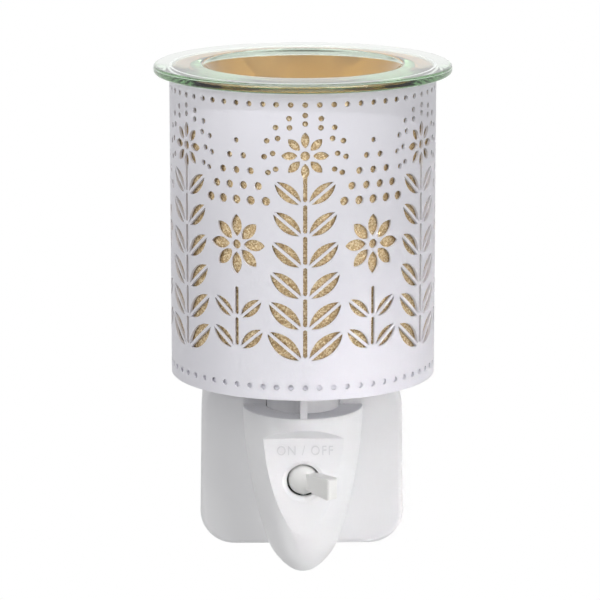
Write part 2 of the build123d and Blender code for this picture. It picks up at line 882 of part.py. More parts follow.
# Switch: a ball with a lever, on an axle; it stands at its right-hand stop
lever_plane = Plane(
    origin=(0, pivot_y, switch_z),
    x_dir=(sin(radians(switch_throw)), -cos(radians(switch_throw)), 0),
    z_dir=(0, 0, 1),
)
lever_side_plane = Plane(
    origin=(0, pivot_y, switch_z), x_dir=lever_plane.x_dir, z_dir=-lever_plane.y_dir
)
with BuildPart() as toggle:
    with BuildSketch(lever_side_plane):
        Circle(ball_radius)
        with Locations((-ball_radius, 0)):
            Rectangle(2 * ball_radius, 2 * ball_radius, mode=Mode.SUBTRACT)
    revolve(axis=Axis(lever_plane.origin, lever_plane.z_dir))
    with BuildSketch(lever_side_plane):
        with BuildLine():
            Polyline(
                (0, -lever_root_height / 2),
                (lever_length, -lever_tip_height / 2),
                (lever_length, lever_tip_height / 2),
                (0, lever_root_height / 2),
                close=True,
            )
        make_face()
    extrude(amount=lever_thickness / 2, both=True)
    lever_tip = toggle.faces().sort_by(Axis(lever_plane.origin, lever_plane.x_dir))[-1]
    fillet(lever_tip.edges(), lever_round)
    with BuildSketch(lever_plane.offset(-tail_height / 2)):
        with Locations((-tail_reach / 2, 0)):
            Rectangle(tail_reach, tail_bar)
        with Locations((-tail_reach, 0)):
            Circle(tail_end_radius)
    extrude(amount=tail_height)
    with BuildSketch(lever_plane.offset(-ball_radius)):
        Circle(axle_radius + running_gap)
    extrude(amount=2 * ball_radius, mode=Mode.SUBTRACT)
save(toggle, "toggle")

frame_gap_z = ball_radius + moving_gap
with BuildPart() as toggle_axle:
    with BuildSketch(lever_plane.offset(-frame_gap_z - frame_plate)):
        Circle(axle_radius)
    extrude(amount=2 * (frame_gap_z + frame_plate))
save(toggle_axle, "toggle_axle")

# Contact carriage: a fork that the toggle's tail slides from side to side
carriage_x = -tail_reach * sin(radians(switch_throw))
carriage_front = pivot_y + tail_reach * cos(radians(switch_throw)) - carriage_lead
slot_end = pivot_y + tail_reach + tail_end_radius + slot_relief
carriage_back = slot_end + carriage_web
slot_half_width = tail_end_radius + moving_gap
with BuildPart() as contact_carriage:
    with BuildSketch(Plane((carriage_x, 0, switch_z - ball_radius))):
        with Locations((0, (carriage_front + carriage_back) / 2)):
            Rectangle(2 * carriage_half_width, carriage_back - carriage_front)
        with Locations((0, (carriage_front + slot_end) / 2)):
            Rectangle(2 * slot_half_width, slot_end - carriage_front, mode=Mode.SUBTRACT)
    extrude(amount=2 * ball_radius)
    with BuildSketch(Plane.XZ.offset(-carriage_back)):
        with Locations((carriage_x, switch_z)):
            Rectangle(2 * bridge_half_width, 2 * bridge_half_height)
    extrude(amount=bridge_sheet, mode=Mode.SUBTRACT)
save(contact_carriage, "contact_carriage")

with BuildPart() as bridge_contact:
    with BuildSketch(Plane.XZ.offset(-carriage_back)):
        with Locations((carriage_x, switch_z)):
            Rectangle(2 * bridge_half_width, 2 * bridge_half_height)
    extrude(amount=bridge_sheet)
save(bridge_contact, "bridge_contact")

# Switch frame: two plates that carry the axle, joined by the contact wall
frame_front = facet_inner_y + facet_slope * (frame_gap_z + frame_plate)
frame_wall_front = carriage_back + moving_gap
frame_wall_back = frame_wall_front + frame_plate
terminal_x = -carriage_x
terminals = [
    (terminal_x, switch_z - terminal_spacing / 2),
    (terminal_x, switch_z + terminal_spacing / 2),
]
with BuildPart() as switch_frame:
    neck_end = facet_inner_y + frame_neck
    for level in (switch_z - frame_gap_z - frame_plate, switch_z + frame_gap_z):
        with BuildSketch(Plane((0, 0, level))):
            with Locations((0, (frame_front + neck_end) / 2)):
                Rectangle(2 * frame_front_half_width, neck_end - frame_front)
            with Locations((0, (neck_end + frame_wall_back) / 2)):
                Rectangle(2 * frame_rear_half_width, frame_wall_back - neck_end)
            with Locations((0, pivot_y)):
                Circle(axle_radius + running_gap, mode=Mode.SUBTRACT)
        extrude(amount=frame_plate)
    with BuildSketch(Plane.XZ.offset(-frame_wall_back)):
        with Locations((0, switch_z)):
            Rectangle(2 * frame_rear_half_width, 2 * (frame_gap_z + frame_plate))
        with Locations(*terminals):
            Circle(terminal_radius + pin_gap, mode=Mode.SUBTRACT)
    extrude(amount=frame_plate)
save(switch_frame, "switch_frame")

# Switch terminals: two rivets through the contact wall, each with a solder tag
with BuildPart() as switch_terminals:
    with BuildSketch(Plane.XZ.offset(-frame_wall_front)):
        with Locations(*terminals):
            Circle(terminal_radius)
    extrude(amount=-frame_plate)
    with BuildSketch(Plane.XZ.offset(-frame_wall_back)):
        for side in (-1, 1):
            rise = (terminal_spacing + terminal_tag) / 2 - terminal_radius
            with Locations((terminal_x, switch_z + side * rise)):
                Rectangle(terminal_tag_width, terminal_tag)
    extrude(amount=-terminal_sheet)
save(switch_terminals, "switch_terminals")


def wire(points, radii):
    """Insulated wire along straight runs joined by arcs."""
    with BuildPart() as strand:
        with BuildLine() as route:
            FilletPolyline(*points, radius=radii)
        with BuildSketch(Plane(route.line @ 0, z_dir=route.line % 0)):
            Circle(wire_radius)
        sweep(path=route.line)
    return strand


tag_back = frame_wall_back + terminal_sheet
tag_height = terminal_spacing / 2 + terminal_tag - terminal_radius - wire_radius - moving_gap
pin_tag_y = -cover_floor - pin_shoulder_depth - pin_tag_length
contact_back = axis_y + contact_reach + contact_sheet / 2
contact_tag_z = holder_foot_z - contact_tag / 2 - contact_sheet
switched_wire_y = contact_back + switched_wire_reach

# Wires: live pin to switch, switch to centre contact, screw shell to neutral pin
live_wire = wire(
    [
        (terminal_x, tag_back, switch_z - tag_height),
        (terminal_x, tag_back + wire_lead, switch_z - tag_height),
        (pin_spacing / 2, pin_tag_y - wire_lead, -pin_spacing / 2),
        (pin_spacing / 2, pin_tag_y, -pin_spacing / 2),
    ],
    wire_bend,
)
save(live_wire, "live_wire")
switched_wire = wire(
    [
        (terminal_x, tag_back, switch_z + tag_height),
        (terminal_x, switched_wire_y, switch_z + tag_height),
        (0, switched_wire_y, contact_tag_z),
        (0, contact_back, contact_tag_z),
    ],
    switched_wire_bend,
)
save(switched_wire, "switched_wire")
tail_x = -(shell_radius - shell_sheet / 2) * sin(radians(tail_angle))
tail_y = axis_y + (shell_radius - shell_sheet / 2) * cos(radians(tail_angle))
tail_z = socket_floor_z + shell_lift - tail_length
neutral_wire = wire(
    [
        (tail_x, tail_y, tail_z),
        (tail_x, tail_y, tail_z - neutral_wire_drop),
        (-pin_spacing / 2, pin_tag_y - wire_lead, -pin_spacing / 2),
        (-pin_spacing / 2, pin_tag_y, -pin_spacing / 2),
    ],
    neutral_wire_bend,
)
save(neutral_wire, "neutral_wire")
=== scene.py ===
import math

import bmesh
import bpy
import numpy as np
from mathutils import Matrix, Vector


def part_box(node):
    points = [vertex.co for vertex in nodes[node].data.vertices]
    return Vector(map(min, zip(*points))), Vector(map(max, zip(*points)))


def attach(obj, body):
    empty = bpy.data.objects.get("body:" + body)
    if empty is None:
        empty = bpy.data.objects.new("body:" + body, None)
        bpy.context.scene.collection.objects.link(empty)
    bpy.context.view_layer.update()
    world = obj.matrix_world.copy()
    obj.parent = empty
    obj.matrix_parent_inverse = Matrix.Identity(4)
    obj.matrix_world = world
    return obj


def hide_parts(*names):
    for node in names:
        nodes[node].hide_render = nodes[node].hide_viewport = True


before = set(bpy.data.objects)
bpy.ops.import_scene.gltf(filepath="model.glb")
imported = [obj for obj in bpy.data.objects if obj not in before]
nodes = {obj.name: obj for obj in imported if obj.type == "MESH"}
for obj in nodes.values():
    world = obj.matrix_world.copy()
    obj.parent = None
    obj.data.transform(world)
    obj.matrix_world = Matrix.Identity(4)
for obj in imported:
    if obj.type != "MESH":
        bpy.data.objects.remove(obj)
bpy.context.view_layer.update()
scene = bpy.context.scene
mm = 0.001
perMetre = 1000.0  # a pattern of n mm has the scale perMetre / n
weldGap = 2e-6  # points nearer than this are made one
dishLow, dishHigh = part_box("wax_dish")
axisY = (dishLow.y + dishHigh.y) / 2  # the upright lamp axis runs through the dish
print("frame loaded:", len(nodes), "nodes")


# sRGB hex to the linear values that shaders take
def hexColour(code):
    parts = [int(code[i:i + 2], 16) / 255 for i in (1, 3, 5)]
    return tuple(c / 12.92 if c < 0.04045 else ((c + 0.055) / 1.055) ** 2.4 for c in parts) + (1.0,)


# one node with its settings; links gives each input a value or the socket that feeds it
# (a Mix node takes numbers at 2 and 3, vectors at 4 and 5, colours at 6 and 7, and gives them at 0, 1 and 2)
def addNode(tree, kind, links=None, **settings):
    node = tree.nodes.new(kind)
    for name, value in settings.items():
        setattr(node, name, value)
    for name, value in (links or {}).items():
        if isinstance(value, bpy.types.NodeSocket):
            tree.links.new(value, node.inputs[name])
        else:
            node.inputs[name].default_value = value
    return node


# a material with an empty node tree, and the Object coordinates that its patterns read
def startMaterial(name):
    material = bpy.data.materials.new(name)
    material.use_nodes = True
    material.node_tree.nodes.clear()
    coords = addNode(material.node_tree, "ShaderNodeTexCoord").outputs["Object"]
    return material, material.node_tree, coords


# how far, level with the ground, a point lies from the upright lamp axis
def axisDistance(tree, coords):
    spoke = addNode(tree, "ShaderNodeVectorMath", {0: coords, 1: (0, axisY, 0)}, operation="SUBTRACT")
    level = addNode(tree, "ShaderNodeVectorMath", {0: spoke.outputs[0], 1: (1, 1, 0)}, operation="MULTIPLY")
    return addNode(tree, "ShaderNodeVectorMath", {0: level.outputs[0]}, operation="LENGTH").outputs["Value"]


# injection-moulded ABS: a near-white, half-gloss skin with spark-eroded grain and faint flow marks
# sizes in mm; the real grain is 0.1 mm, drawn coarser so that it shows
moulding = {
    "flowMarks": 16.0, "handling": 5.0, "sparkGrain": 0.45, "grainHeight": 0.2,
    "polish": 0.06, "dulling": 0.08, "ior": 1.53,
}


def mouldedAbs(name, light, dark, rough, grain=0.06):
    material, tree, coords = startMaterial(name)
    flow = addNode(tree, "ShaderNodeTexNoise", {
        "Vector": coords, "Scale": perMetre / moulding["flowMarks"], "Detail": 2.0,
    })
    tone = addNode(tree, "ShaderNodeMix", {
        0: flow.outputs["Fac"], 6: hexColour(light), 7: hexColour(dark),
    }, data_type="RGBA")
    wipe = addNode(tree, "ShaderNodeTexNoise", {
        "Vector": coords, "Scale": perMetre / moulding["handling"], "Detail": 3.0,
    })
    gloss = addNode(tree, "ShaderNodeMapRange", {
        "Value": wipe.outputs["Fac"],
        "To Min": rough - moulding["polish"], "To Max": rough + moulding["dulling"],
    })
    spark = addNode(tree, "ShaderNodeTexNoise", {
        "Vector": coords, "Scale": perMetre / moulding["sparkGrain"], "Detail": 1.0,
    })
    relief = addNode(tree, "ShaderNodeBump", {
        "Height": spark.outputs["Fac"], "Strength": grain, "Distance": moulding["grainHeight"] * mm,
    })
    shader = addNode(tree, "ShaderNodeBsdfPrincipled", {
        "Base Color": tone.outputs[2], "Roughness": gloss.outputs[0],
        "Normal": relief.outputs[0], "IOR": moulding["ior"],
    })
    addNode(tree, "ShaderNodeOutputMaterial", {"Surface": shader.outputs[0]})
    return material


# powder-coated steel: lavender-white satin with a soft orange peel, a shade deeper where the coat runs thin
# sizes in mm; the peel is about twice the real one so that it shows
coating = {
    "drift": 22.0, "peel": 0.9, "peelHeight": 0.3, "peelStrength": 0.10,
    "polish": 0.05, "dulling": 0.07, "ior": 1.5,
}


def powderCoat(name, light, dark, rough):
    material, tree, coords = startMaterial(name)
    cloud = addNode(tree, "ShaderNodeTexNoise", {
        "Vector": coords, "Scale": perMetre / coating["drift"], "Detail": 3.0,
    })
    tone = addNode(tree, "ShaderNodeMix", {
        0: cloud.outputs["Fac"], 6: hexColour(light), 7: hexColour(dark),
    }, data_type="RGBA")
    peel = addNode(tree, "ShaderNodeTexNoise", {
        "Vector": coords, "Scale": perMetre / coating["peel"], "Detail": 2.0,
    })
    gloss = addNode(tree, "ShaderNodeMapRange", {
        "Value": peel.outputs["Fac"],
        "To Min": rough - coating["polish"], "To Max": rough + coating["dulling"],
    })
    relief = addNode(tree, "ShaderNodeBump", {
        "Height": peel.outputs["Fac"],
        "Strength": coating["peelStrength"], "Distance": coating["peelHeight"] * mm,
    })
    shader = addNode(tree, "ShaderNodeBsdfPrincipled", {
        "Base Color": tone.outputs[2], "Roughness": gloss.outputs[0],
        "Normal": relief.outputs[0], "IOR": coating["ior"],
    })
    addNode(tree, "ShaderNodeOutputMaterial", {"Surface": shader.outputs[0]})
    return material


# glitter film on gold card: champagne flakes pressed flat in lacquer outside, each tilted its own way so that
# single flakes flash; the inside of the roll is smooth satin gold with a 9 mm drift of tone
film = {
    "darkFlake": "#a78c62", "midFlake": "#c4a97e", "brightFlake": "#eadab6", "tilt": 0.5,
    "gold": "#b1824a", "deepGold": "#9f733b", "drift": 9.0,
    "smoothFlake": 0.3, "roughFlake": 0.6, "metalInside": 0.3, "metalOutside": 0.4,
}


def glitterFilm(name, flakeSize, wallRadius):
    material, tree, coords = startMaterial(name)
    flakes = addNode(tree, "ShaderNodeTexVoronoi", {"Vector": coords, "Scale": perMetre / flakeSize})
    split = addNode(tree, "ShaderNodeSeparateColor", {"Color": flakes.outputs["Color"]})
    tone = addNode(tree, "ShaderNodeValToRGB", {"Fac": split.outputs[0]})
    ramp = tone.color_ramp
    ramp.elements[0].color = hexColour(film["darkFlake"])
    ramp.elements[1].color = hexColour(film["brightFlake"])
    middle = ramp.elements.new(0.5)
    middle.color = hexColour(film["midFlake"])
    tilt = addNode(tree, "ShaderNodeVectorMath", {
        0: flakes.outputs["Color"], 1: (0.5, 0.5, 0.5),
    }, operation="SUBTRACT")
    lean = addNode(tree, "ShaderNodeVectorMath", {
        0: tilt.outputs[0], "Scale": film["tilt"],
    }, operation="SCALE")
    facing = addNode(tree, "ShaderNodeNewGeometry").outputs["Normal"]
    turnedFlake = addNode(tree, "ShaderNodeVectorMath", {0: facing, 1: lean.outputs[0]}, operation="ADD")
    flash = addNode(tree, "ShaderNodeVectorMath", {0: turnedFlake.outputs[0]}, operation="NORMALIZE")
    # past the middle of the card's wall, measured from the lamp axis, the film begins
    away = axisDistance(tree, coords)
    outside = addNode(tree, "ShaderNodeMath", {0: away, 1: wallRadius * mm}, operation="GREATER_THAN")
    smear = addNode(tree, "ShaderNodeTexNoise", {
        "Vector": coords, "Scale": perMetre / film["drift"], "Detail": 2.0,
    })
    gold = addNode(tree, "ShaderNodeMix", {
        0: smear.outputs["Fac"], 6: hexColour(film["gold"]), 7: hexColour(film["deepGold"]),
    }, data_type="RGBA")
    colour = addNode(tree, "ShaderNodeMix", {
        0: outside.outputs[0], 6: gold.outputs[2], 7: tone.outputs[0],
    }, data_type="RGBA")
    bend = addNode(tree, "ShaderNodeMix", {
        0: outside.outputs[0], 4: facing, 5: flash.outputs[0],
    }, data_type="VECTOR")
    gloss = addNode(tree, "ShaderNodeMapRange", {
        "Value": split.outputs[1], "To Min": film["smoothFlake"], "To Max": film["roughFlake"],
    })
    sheen = addNode(tree, "ShaderNodeMapRange", {
        "Value": outside.outputs[0], "To Min": film["metalInside"], "To Max": film["metalOutside"],
    })
    shader = addNode(tree, "ShaderNodeBsdfPrincipled", {
        "Base Color": colour.outputs[2], "Roughness": gloss.outputs[0],
        "Normal": bend.outputs[1], "Metallic": sheen.outputs[0],
    })
    addNode(tree, "ShaderNodeOutputMaterial", {"Surface": shader.outputs[0]})
    return material


# pressed or blown soda-lime glass: clear, with faint waves from the mould; iron tints long paths green
glass = {
    "clear": "#fbfdfb", "rough": 0.015, "ior": 1.52, "waveHeight": 0.5,
    "shadow": "#eef2ee", "lipShadow": "#8f8a86",
}


def sodaLimeGlass(name, tint, density, wave, strength, lipRadius=None):
    material, tree, coords = startMaterial(name)
    swell = addNode(tree, "ShaderNodeTexNoise", {"Vector": coords, "Scale": perMetre / wave, "Detail": 1.0})
    relief = addNode(tree, "ShaderNodeBump", {
        "Height": swell.outputs["Fac"], "Strength": strength, "Distance": glass["waveHeight"] * mm,
    })
    shader = addNode(tree, "ShaderNodeBsdfPrincipled", {
        "Base Color": hexColour(glass["clear"]), "Roughness": glass["rough"],
        "Normal": relief.outputs[0], "IOR": glass["ior"], "Transmission Weight": 1.0,
    })
    # lamps shine through, as they do in life,
    # but a rounded lip bends their light away and shades the wall below
    cast = hexColour(glass["shadow"])
    if lipRadius:
        away = axisDistance(tree, coords)
        lip = addNode(tree, "ShaderNodeMath", {0: away, 1: lipRadius * mm}, operation="GREATER_THAN")
        cast = addNode(tree, "ShaderNodeMix", {
            0: lip.outputs[0], 6: cast, 7: hexColour(glass["lipShadow"]),
        }, data_type="RGBA").outputs[2]
    clear = addNode(tree, "ShaderNodeBsdfTransparent", {"Color": cast})
    lampRay = addNode(tree, "ShaderNodeLightPath").outputs["Is Shadow Ray"]
    both = addNode(tree, "ShaderNodeMixShader", {0: lampRay, 1: shader.outputs[0], 2: clear.outputs[0]})
    body = addNode(tree, "ShaderNodeVolumeAbsorption", {"Color": hexColour(tint), "Density": density})
    addNode(tree, "ShaderNodeOutputMaterial", {"Surface": both.outputs[0], "Volume": body.outputs[0]})
    return material


# bare metal, drawn or turned: fine lines along one direction and dull patches where it was handled
# sizes in mm
drawing = {
    "lines": 0.5, "lineHeight": 0.2, "lineStrength": 0.08, "patches": 4.0,
    "polish": 0.08, "dulling": 0.12,
}


def drawnMetal(name, light, dark, rough, stretch):
    material, tree, coords = startMaterial(name)
    along = addNode(tree, "ShaderNodeMapping", {"Vector": coords, "Scale": stretch})
    lines = addNode(tree, "ShaderNodeTexNoise", {
        "Vector": along.outputs[0], "Scale": perMetre / drawing["lines"], "Detail": 2.0,
    })
    dull = addNode(tree, "ShaderNodeTexNoise", {
        "Vector": coords, "Scale": perMetre / drawing["patches"], "Detail": 2.0,
    })
    tone = addNode(tree, "ShaderNodeMix", {
        0: dull.outputs["Fac"], 6: hexColour(light), 7: hexColour(dark),
    }, data_type="RGBA")
    gloss = addNode(tree, "ShaderNodeMapRange", {
        "Value": lines.outputs["Fac"],
        "To Min": rough - drawing["polish"], "To Max": rough + drawing["dulling"],
    })
    relief = addNode(tree, "ShaderNodeBump", {
        "Height": lines.outputs["Fac"],
        "Strength": drawing["lineStrength"], "Distance": drawing["lineHeight"] * mm,
    })
    shader = addNode(tree, "ShaderNodeBsdfPrincipled", {
        "Base Color": tone.outputs[2], "Roughness": gloss.outputs[0],
        "Normal": relief.outputs[0], "Metallic": 1.0,
    })
    addNode(tree, "ShaderNodeOutputMaterial", {"Surface": shader.outputs[0]})
    return material


# links a mesh into the scene, shaded smooth but for edges past the angle
def smoothObject(name, mesh, crispAngle):
    mesh.polygons.foreach_set("use_smooth", np.ones(len(mesh.polygons), bool))
    mesh.set_sharp_from_angle(angle=math.radians(crispAngle))
    piece = bpy.data.objects.new(name, mesh)
    scene.collection.objects.link(piece)
    return piece


# merges seams and poles and turns faces outwards
def finishPiece(name, mesh, crispAngle):
    form = bmesh.new()
    form.from_mesh(mesh)
    bmesh.ops.remove_doubles(form, verts=form.verts, dist=weldGap)
    bmesh.ops.recalc_face_normals(form, faces=form.faces)
    form.to_mesh(mesh)
    form.free()
    return smoothObject(name, mesh, crispAngle)


# grids of points (rows, columns, xyz) as one mesh of quads; wraps join the last column or row to the first
def gridPiece(name, grids, wrapColumns=True, wrapRows=False, crispAngle=60):
    points, faces, first = [], [], 0
    for grid in grids:
        rows, columns = grid.shape[:2]
        index = first + np.arange(rows * columns).reshape(rows, columns)
        index = np.concatenate([index, index[:, :1]], axis=1) if wrapColumns else index
        index = np.concatenate([index, index[:1]], axis=0) if wrapRows else index
        quads = np.stack([index[:-1, :-1], index[:-1, 1:], index[1:, 1:], index[1:, :-1]], axis=-1)
        faces.append(quads.reshape(-1, 4))
        points.append(grid.reshape(-1, 3))
        first += rows * columns
    mesh = bpy.data.meshes.new(name)
    mesh.from_pydata(np.concatenate(points).tolist(), [], np.concatenate(faces).tolist())
    return finishPiece(name, mesh, crispAngle)


# corner points p (r, z), each rounded: from a to b, a set-back before and after p, along the parabola
# a(1-s)^2 + 2 p s(1-s) + b s^2
def roundedProfile(corners, radii, steps=7):
    p = np.array(corners, float)
    back, ahead = np.roll(p, 1, 0) - p, np.roll(p, -1, 0) - p
    back /= np.linalg.norm(back, axis=1)[:, None]
    ahead /= np.linalg.norm(ahead, axis=1)[:, None]
    half = np.arccos(np.clip((back * ahead).sum(1), -1, 1)) / 2
    setBack = (np.array(radii, float) / np.tan(half))[:, None]
    s = np.linspace(0, 1, steps)[None, :, None]
    a, b, m = (p + back * setBack)[:, None], (p + ahead * setBack)[:, None], p[:, None]
    return (a * (1 - s) ** 2 + 2 * m * s * (1 - s) + b * s * s).reshape(-1, 2)


# a profile (r, z) in mm turned about the lamp axis: x = r sin t, y = axis - r cos t
def turnedGrid(profile, columns):
    t = np.linspace(0, 2 * np.pi, columns, endpoint=False)
    r, z = profile[:, 0][:, None] * mm, profile[:, 1][:, None] * mm
    return np.stack([r * np.sin(t), axisY - r * np.cos(t), z + 0 * t], axis=-1)


# a round tube along a path (n, xyz): ring points at path + radius (cos a side + sin a over), square to it;
# side is square to a slant that no path here runs along
def tubeGrid(path, radius, columns, slant=(0.31, 0.9, 0.17)):
    ahead = np.gradient(path, axis=0)
    ahead /= np.linalg.norm(ahead, axis=1)[:, None]
    side = np.cross(ahead, np.array(slant))
    side /= np.linalg.norm(side, axis=1)[:, None]
    over = np.cross(ahead, side)
    a = np.linspace(0, 2 * np.pi, columns, endpoint=False)[None, :, None]
    return path[:, None] + radius * (np.cos(a) * side[:, None] + np.sin(a) * over[:, None])


# puts a finished piece on its body in place of its CAD nodes
def dress(piece, material, body, slot, *stoodFor):
    piece.data.materials.clear()
    piece.data.materials.append(material)
    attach(piece, body)
    if stoodFor:
        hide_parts(*stoodFor)
    return piece


# a merged copy of a CAD node: coplanar facets rejoined, edges past the angle broken by a small bevel
def castPiece(name, node, bevelWidth, crispAngle=27, flatAngle=0.4):
    mesh = nodes[node].data.copy()
    for layer in [a for a in mesh.attributes if a.name == "custom_normal"]:
        mesh.attributes.remove(layer)
    form = bmesh.new()
    form.from_mesh(mesh)
    bmesh.ops.remove_doubles(form, verts=form.verts, dist=weldGap)
    bmesh.ops.dissolve_limit(form, angle_limit=math.radians(flatAngle), verts=form.verts, edges=form.edges)
    form.to_mesh(mesh)
    form.free()
    piece = smoothObject(name, mesh, crispAngle)
    if bevelWidth:
        bevel = piece.modifiers.new("edge", "BEVEL")
        bevel.width, bevel.segments = bevelWidth * mm, 2
        bevel.limit_method, bevel.angle_limit = "ANGLE", math.radians(crispAngle)
        bevel.harden_normals = True
        bevel.miter_outer = "MITER_ARC"
    shade = piece.modifiers.new("shade", "WEIGHTED_NORMAL")
    shade.keep_sharp = True
    return piece


# glass: tint, density of the tint, mould waves in mm and their strength, and where the dish's lip starts
dishGlass = sodaLimeGlass("pressedDishGlass", "#92dc80", 18.0, 14.0, 0.03, 36.5)
bulbGlass = sodaLimeGlass("blownBulbGlass", "#e9f1ec", 8.0, 9.0, 0.02)
# paint and plastics: light and dark tone, roughness, strength of the grain
shadePaint = powderCoat("shadePowderCoat", "#e6e5eb", "#e1e0e7", 0.42)
linerFilm = glitterFilm("champagneGlitter", 0.34, 34.45)  # flake in mm, middle of the card's wall
whiteAbs = mouldedAbs("whiteAbs", "#ececed", "#e6e6e8", 0.42)
leverAbs = mouldedAbs("leverAbs", "#ebeae8", "#e5e5e3", 0.4)
letterShadeAbs = mouldedAbs("letterAbsPaintedShade", "#dadadc", "#d5d5d7", 0.42)  # the same resin, painted a shade greyer to stand in for the shading round the raised letters
innerAbs = mouldedAbs("matteWhiteAbs", "#e4e4e3", "#dcdcdb", 0.5, 0.1)
blackNylon = mouldedAbs("blackNylon", "#1c1c1d", "#151516", 0.5, 0.12)  # filled nylon: matt, coarser grain
castBlackGlass = mouldedAbs("castBlackGlass", "#0d0d0f", "#08080a", 0.15, 0.03)  # cast hot: smooth, glossy
brownPvc = mouldedAbs("brownPvc", "#5a3b24", "#4c301c", 0.42, 0.05)  # extruded sleeve: smooth, half gloss
bluePvc = mouldedAbs("bluePvc", "#2b57a3", "#234a8f", 0.42, 0.05)
# metals: light and dark tone, roughness, and how the lines stretch along each axis
brass = drawnMetal("drawnBrass", "#d9b36a", "#c39a52", 0.3, (1.0, 0.08, 1.0))  # warm, drawn along the pins
plated = drawnMetal("zincPlate", "#c9cbcd", "#b2b5b9", 0.32, (1.0, 0.1, 1.0))  # cool grey, half bright
capAluminium = drawnMetal("rolledAluminium", "#d6d8da", "#c4c6c9", 0.28, (1.0, 1.0, 0.1))  # pale and bright
solder = drawnMetal("dullSolder", "#b4b6b8", "#9c9ea1", 0.45, (1.0, 1.0, 1.0))  # grey and dull as it froze
tungsten = drawnMetal("tungstenWire", "#8d8f93", "#74777b", 0.35, (0.1, 1.0, 1.0))  # dark grey, drawn thin
print("materials ready")

# wax dish: rim, bowl and underside as one closed profile, every corner fire-polished round
dish = {
    "rimRadius": 40.0, "rim": 2.4, "mouth": 27.0, "floor": 19.0, "depth": 13.5, "wall": 2.6, "columns": 192,
    "rounds": [0, 4.0, 1.1, 1.1, 1.1, 1.1, 6.6, 0], "roundSteps": 9,
}
dishTop = dishHigh.z / mm
shadeTop = dishTop - dish["rim"]
bowlFloor = dishTop - dish["depth"]
dishProfile = roundedProfile(
    [
        (0.0, bowlFloor),
        (dish["floor"], bowlFloor),
        (dish["mouth"], dishTop),
        (dish["rimRadius"], dishTop),
        (dish["rimRadius"], shadeTop),
        (dish["mouth"] + dish["wall"], shadeTop),
        (dish["floor"] + dish["wall"], bowlFloor - dish["wall"]),
        (0.0, bowlFloor - dish["wall"]),
    ],
    dish["rounds"],
    dish["roundSteps"],
)
dishPiece = gridPiece("pressedDish", [turnedGrid(dishProfile, dish["columns"])])
dress(dishPiece, dishGlass, "dish", "clear_glass", "wax_dish")
print("dish made")

# shade sleeve: the pierced sheet as cut, its rolled faces shaded as true cylinders
sleeve = {"crisp": 40, "rolledFrom": 0.96}
sleevePiece = castPiece("piercedSleeve", "shade_sleeve", 0, sleeve["crisp"])
sleevePiece.modifiers.clear()
sleeveMesh = sleevePiece.data
corners = np.zeros(len(sleeveMesh.loops), int)
sleeveMesh.loops.foreach_get("vertex_index", corners)
places = np.zeros(len(sleeveMesh.vertices) * 3)
sleeveMesh.vertices.foreach_get("co", places)
faceNormals = np.zeros(len(sleeveMesh.polygons) * 3)
sleeveMesh.polygons.foreach_get("normal", faceNormals)
counts = np.zeros(len(sleeveMesh.polygons), int)
sleeveMesh.polygons.foreach_get("loop_total", counts)
cornerPlaces = places.reshape(-1, 3)[corners]
cornerFaces = np.repeat(faceNormals.reshape(-1, 3), counts, axis=0)
spoke = cornerPlaces * [1, 1, 0] - [0, axisY, 0]
spoke /= np.linalg.norm(spoke, axis=1)[:, None]
rolled = (spoke * cornerFaces).sum(1)
# normal = the spoke, outwards or inwards, on rolled faces; nought leaves the mesh's own on cut walls
exact = spoke * np.sign(rolled)[:, None] * (np.abs(rolled) > sleeve["rolledFrom"])[:, None]
sleeveMesh.normals_split_custom_set(exact.tolist())
dress(sleevePiece, shadePaint, "base", "shade_white", "shade_sleeve")
print("sleeve shaded:", len(sleeveMesh.polygons), "faces")

# gold liner: plain rolled film on card, just inside the sleeve
linerLow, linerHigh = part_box("gold_liner")
liner = {
    "radius": (linerHigh.x - linerLow.x) / 2 / mm, "sheet": 0.5, "columns": 192,
    "rounds": [0.1, 0.1, 0.1, 0.1], "roundSteps": 3,
}
linerProfile = roundedProfile(
    [
        (liner["radius"], linerLow.z / mm),
        (liner["radius"], linerHigh.z / mm),
        (liner["radius"] - liner["sheet"], linerHigh.z / mm),
        (liner["radius"] - liner["sheet"], linerLow.z / mm),
    ],
    liner["rounds"],
    liner["roundSteps"],
)
linerPiece = gridPiece("glitterLiner", [turnedGrid(linerProfile, liner["columns"])], wrapRows=True)
dress(linerPiece, linerFilm, "base", "champagne_glitter", "gold_liner")
print("liner made")

# lettering of the switch: raised words on the facet, stretched to the mould's width and height
lettering = {
    "words": "ON / OFF",
    "left": -7.2,
    "right": 8.0,
    "low": 8.92,
    "high": 11.57,
    "rise": 0.38,
    "sunk": 0.05,
    "facet": -53.45,
    "switchZ": 1.4,
    "lean": 1.6,
    "spacing": 1.18,
    "curveDepth": 0.05,
    "crisp": 30,
}
textCurve = bpy.data.curves.new("switchWords", "FONT")
textCurve.body = lettering["words"]
textCurve.extrude = lettering["curveDepth"]
textCurve.space_character = lettering["spacing"]
textObject = bpy.data.objects.new("switchWordsCurve", textCurve)
scene.collection.objects.link(textObject)
bpy.context.view_layer.update()
wordMesh = bpy.data.meshes.new_from_object(textObject.evaluated_get(bpy.context.evaluated_depsgraph_get()))
bpy.data.objects.remove(textObject)
wordPoints = np.zeros(len(wordMesh.vertices) * 3)
wordMesh.vertices.foreach_get("co", wordPoints)
wordPoints = wordPoints.reshape(-1, 3)
share = (wordPoints - wordPoints.min(0)) / (wordPoints.max(0) - wordPoints.min(0))
wordX = lettering["left"] + share[:, 0] * (lettering["right"] - lettering["left"])
wordZ = lettering["low"] + share[:, 1] * (lettering["high"] - lettering["low"])
